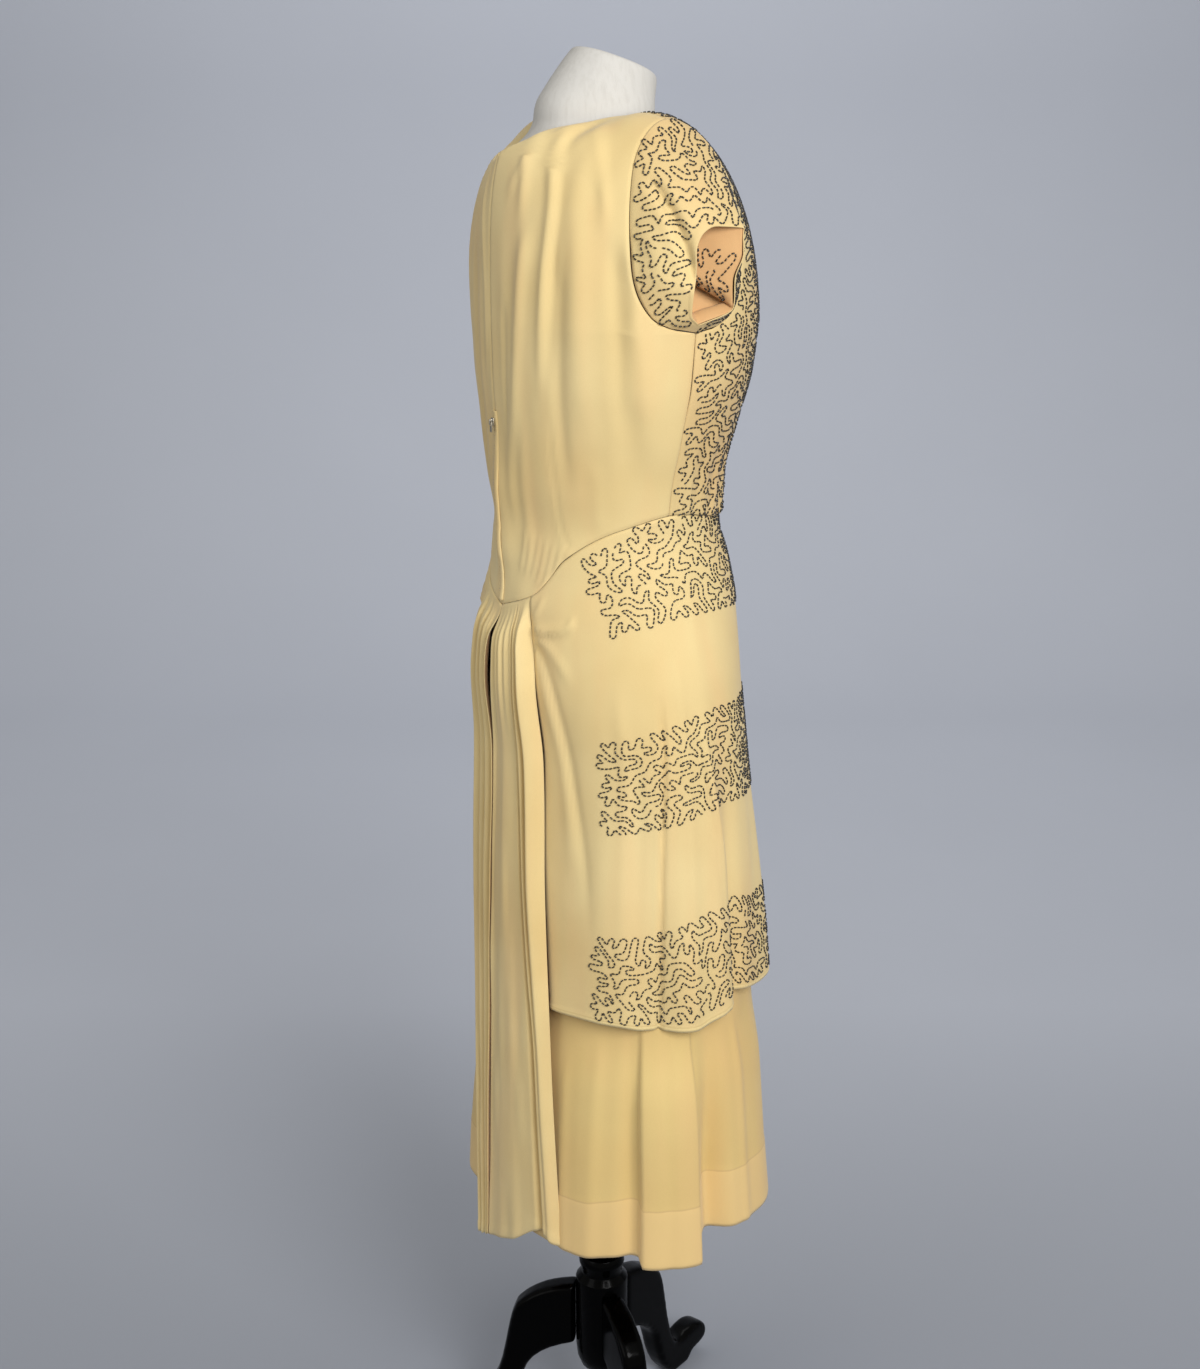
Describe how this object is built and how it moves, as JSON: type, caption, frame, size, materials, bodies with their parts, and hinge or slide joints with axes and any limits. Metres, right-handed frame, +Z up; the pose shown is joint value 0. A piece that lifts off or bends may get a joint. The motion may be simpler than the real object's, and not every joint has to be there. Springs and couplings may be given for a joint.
{
  "type": "beaded cocktail dress on dress form and stand",
  "caption": "Mid-calf crepe dress with a beaded front, cap sleeves, beaded tunic bands and a pleated back drape, on a limbless dress form with a tripod stand.",
  "frame": {"origin": "bottom centre of the whole object's box, on the floor under the stand", "axes": "+Z up, the dress faces -Y, the wearer's left is +X; the pole stands about 10 mm behind the origin"},
  "size_m": [0.4184, 0.3506, 1.555],
  "materials": {
    "crepe": "butter-yellow crepe, soft matt",
    "beaded_crepe": "butter-yellow crepe sewn all over with black bugle beads in a winding line",
    "linen": "cream linen cover, matt",
    "black_lacquer": "turned and carved wood, black, high gloss",
    "zip_metal": "dull nickel"
  },
  "bodies": {
    "dress": {"bodice_back_right": "crepe", "bodice_back_left": "crepe", "bodice_front": "beaded_crepe", "sleeve_right": "beaded_crepe", "sleeve_left": "beaded_crepe", "skirt_back_right": "crepe", "skirt_back_left": "crepe", "overskirt": "crepe", "underskirt": "crepe", "placket_lap": "crepe", "zip_slider": "zip_metal", "form_torso": "linen", "stand_pole": "black_lacquer", "stand_hub": "black_lacquer", "stand_leg_1": "black_lacquer", "stand_leg_2": "black_lacquer", "stand_leg_3": "black_lacquer"},
    "zip_tab": {"zip_pull_tab": "zip_metal"}
  },
  "joints": [
    {"name": "zip_tab_hinge", "type": "hinge", "parent": "dress", "child": "zip_tab", "pos_m": [-0.0006, 0.13257, 1.203], "axis": [1, 0, 0], "range_deg": [0, 150]}
  ]
}
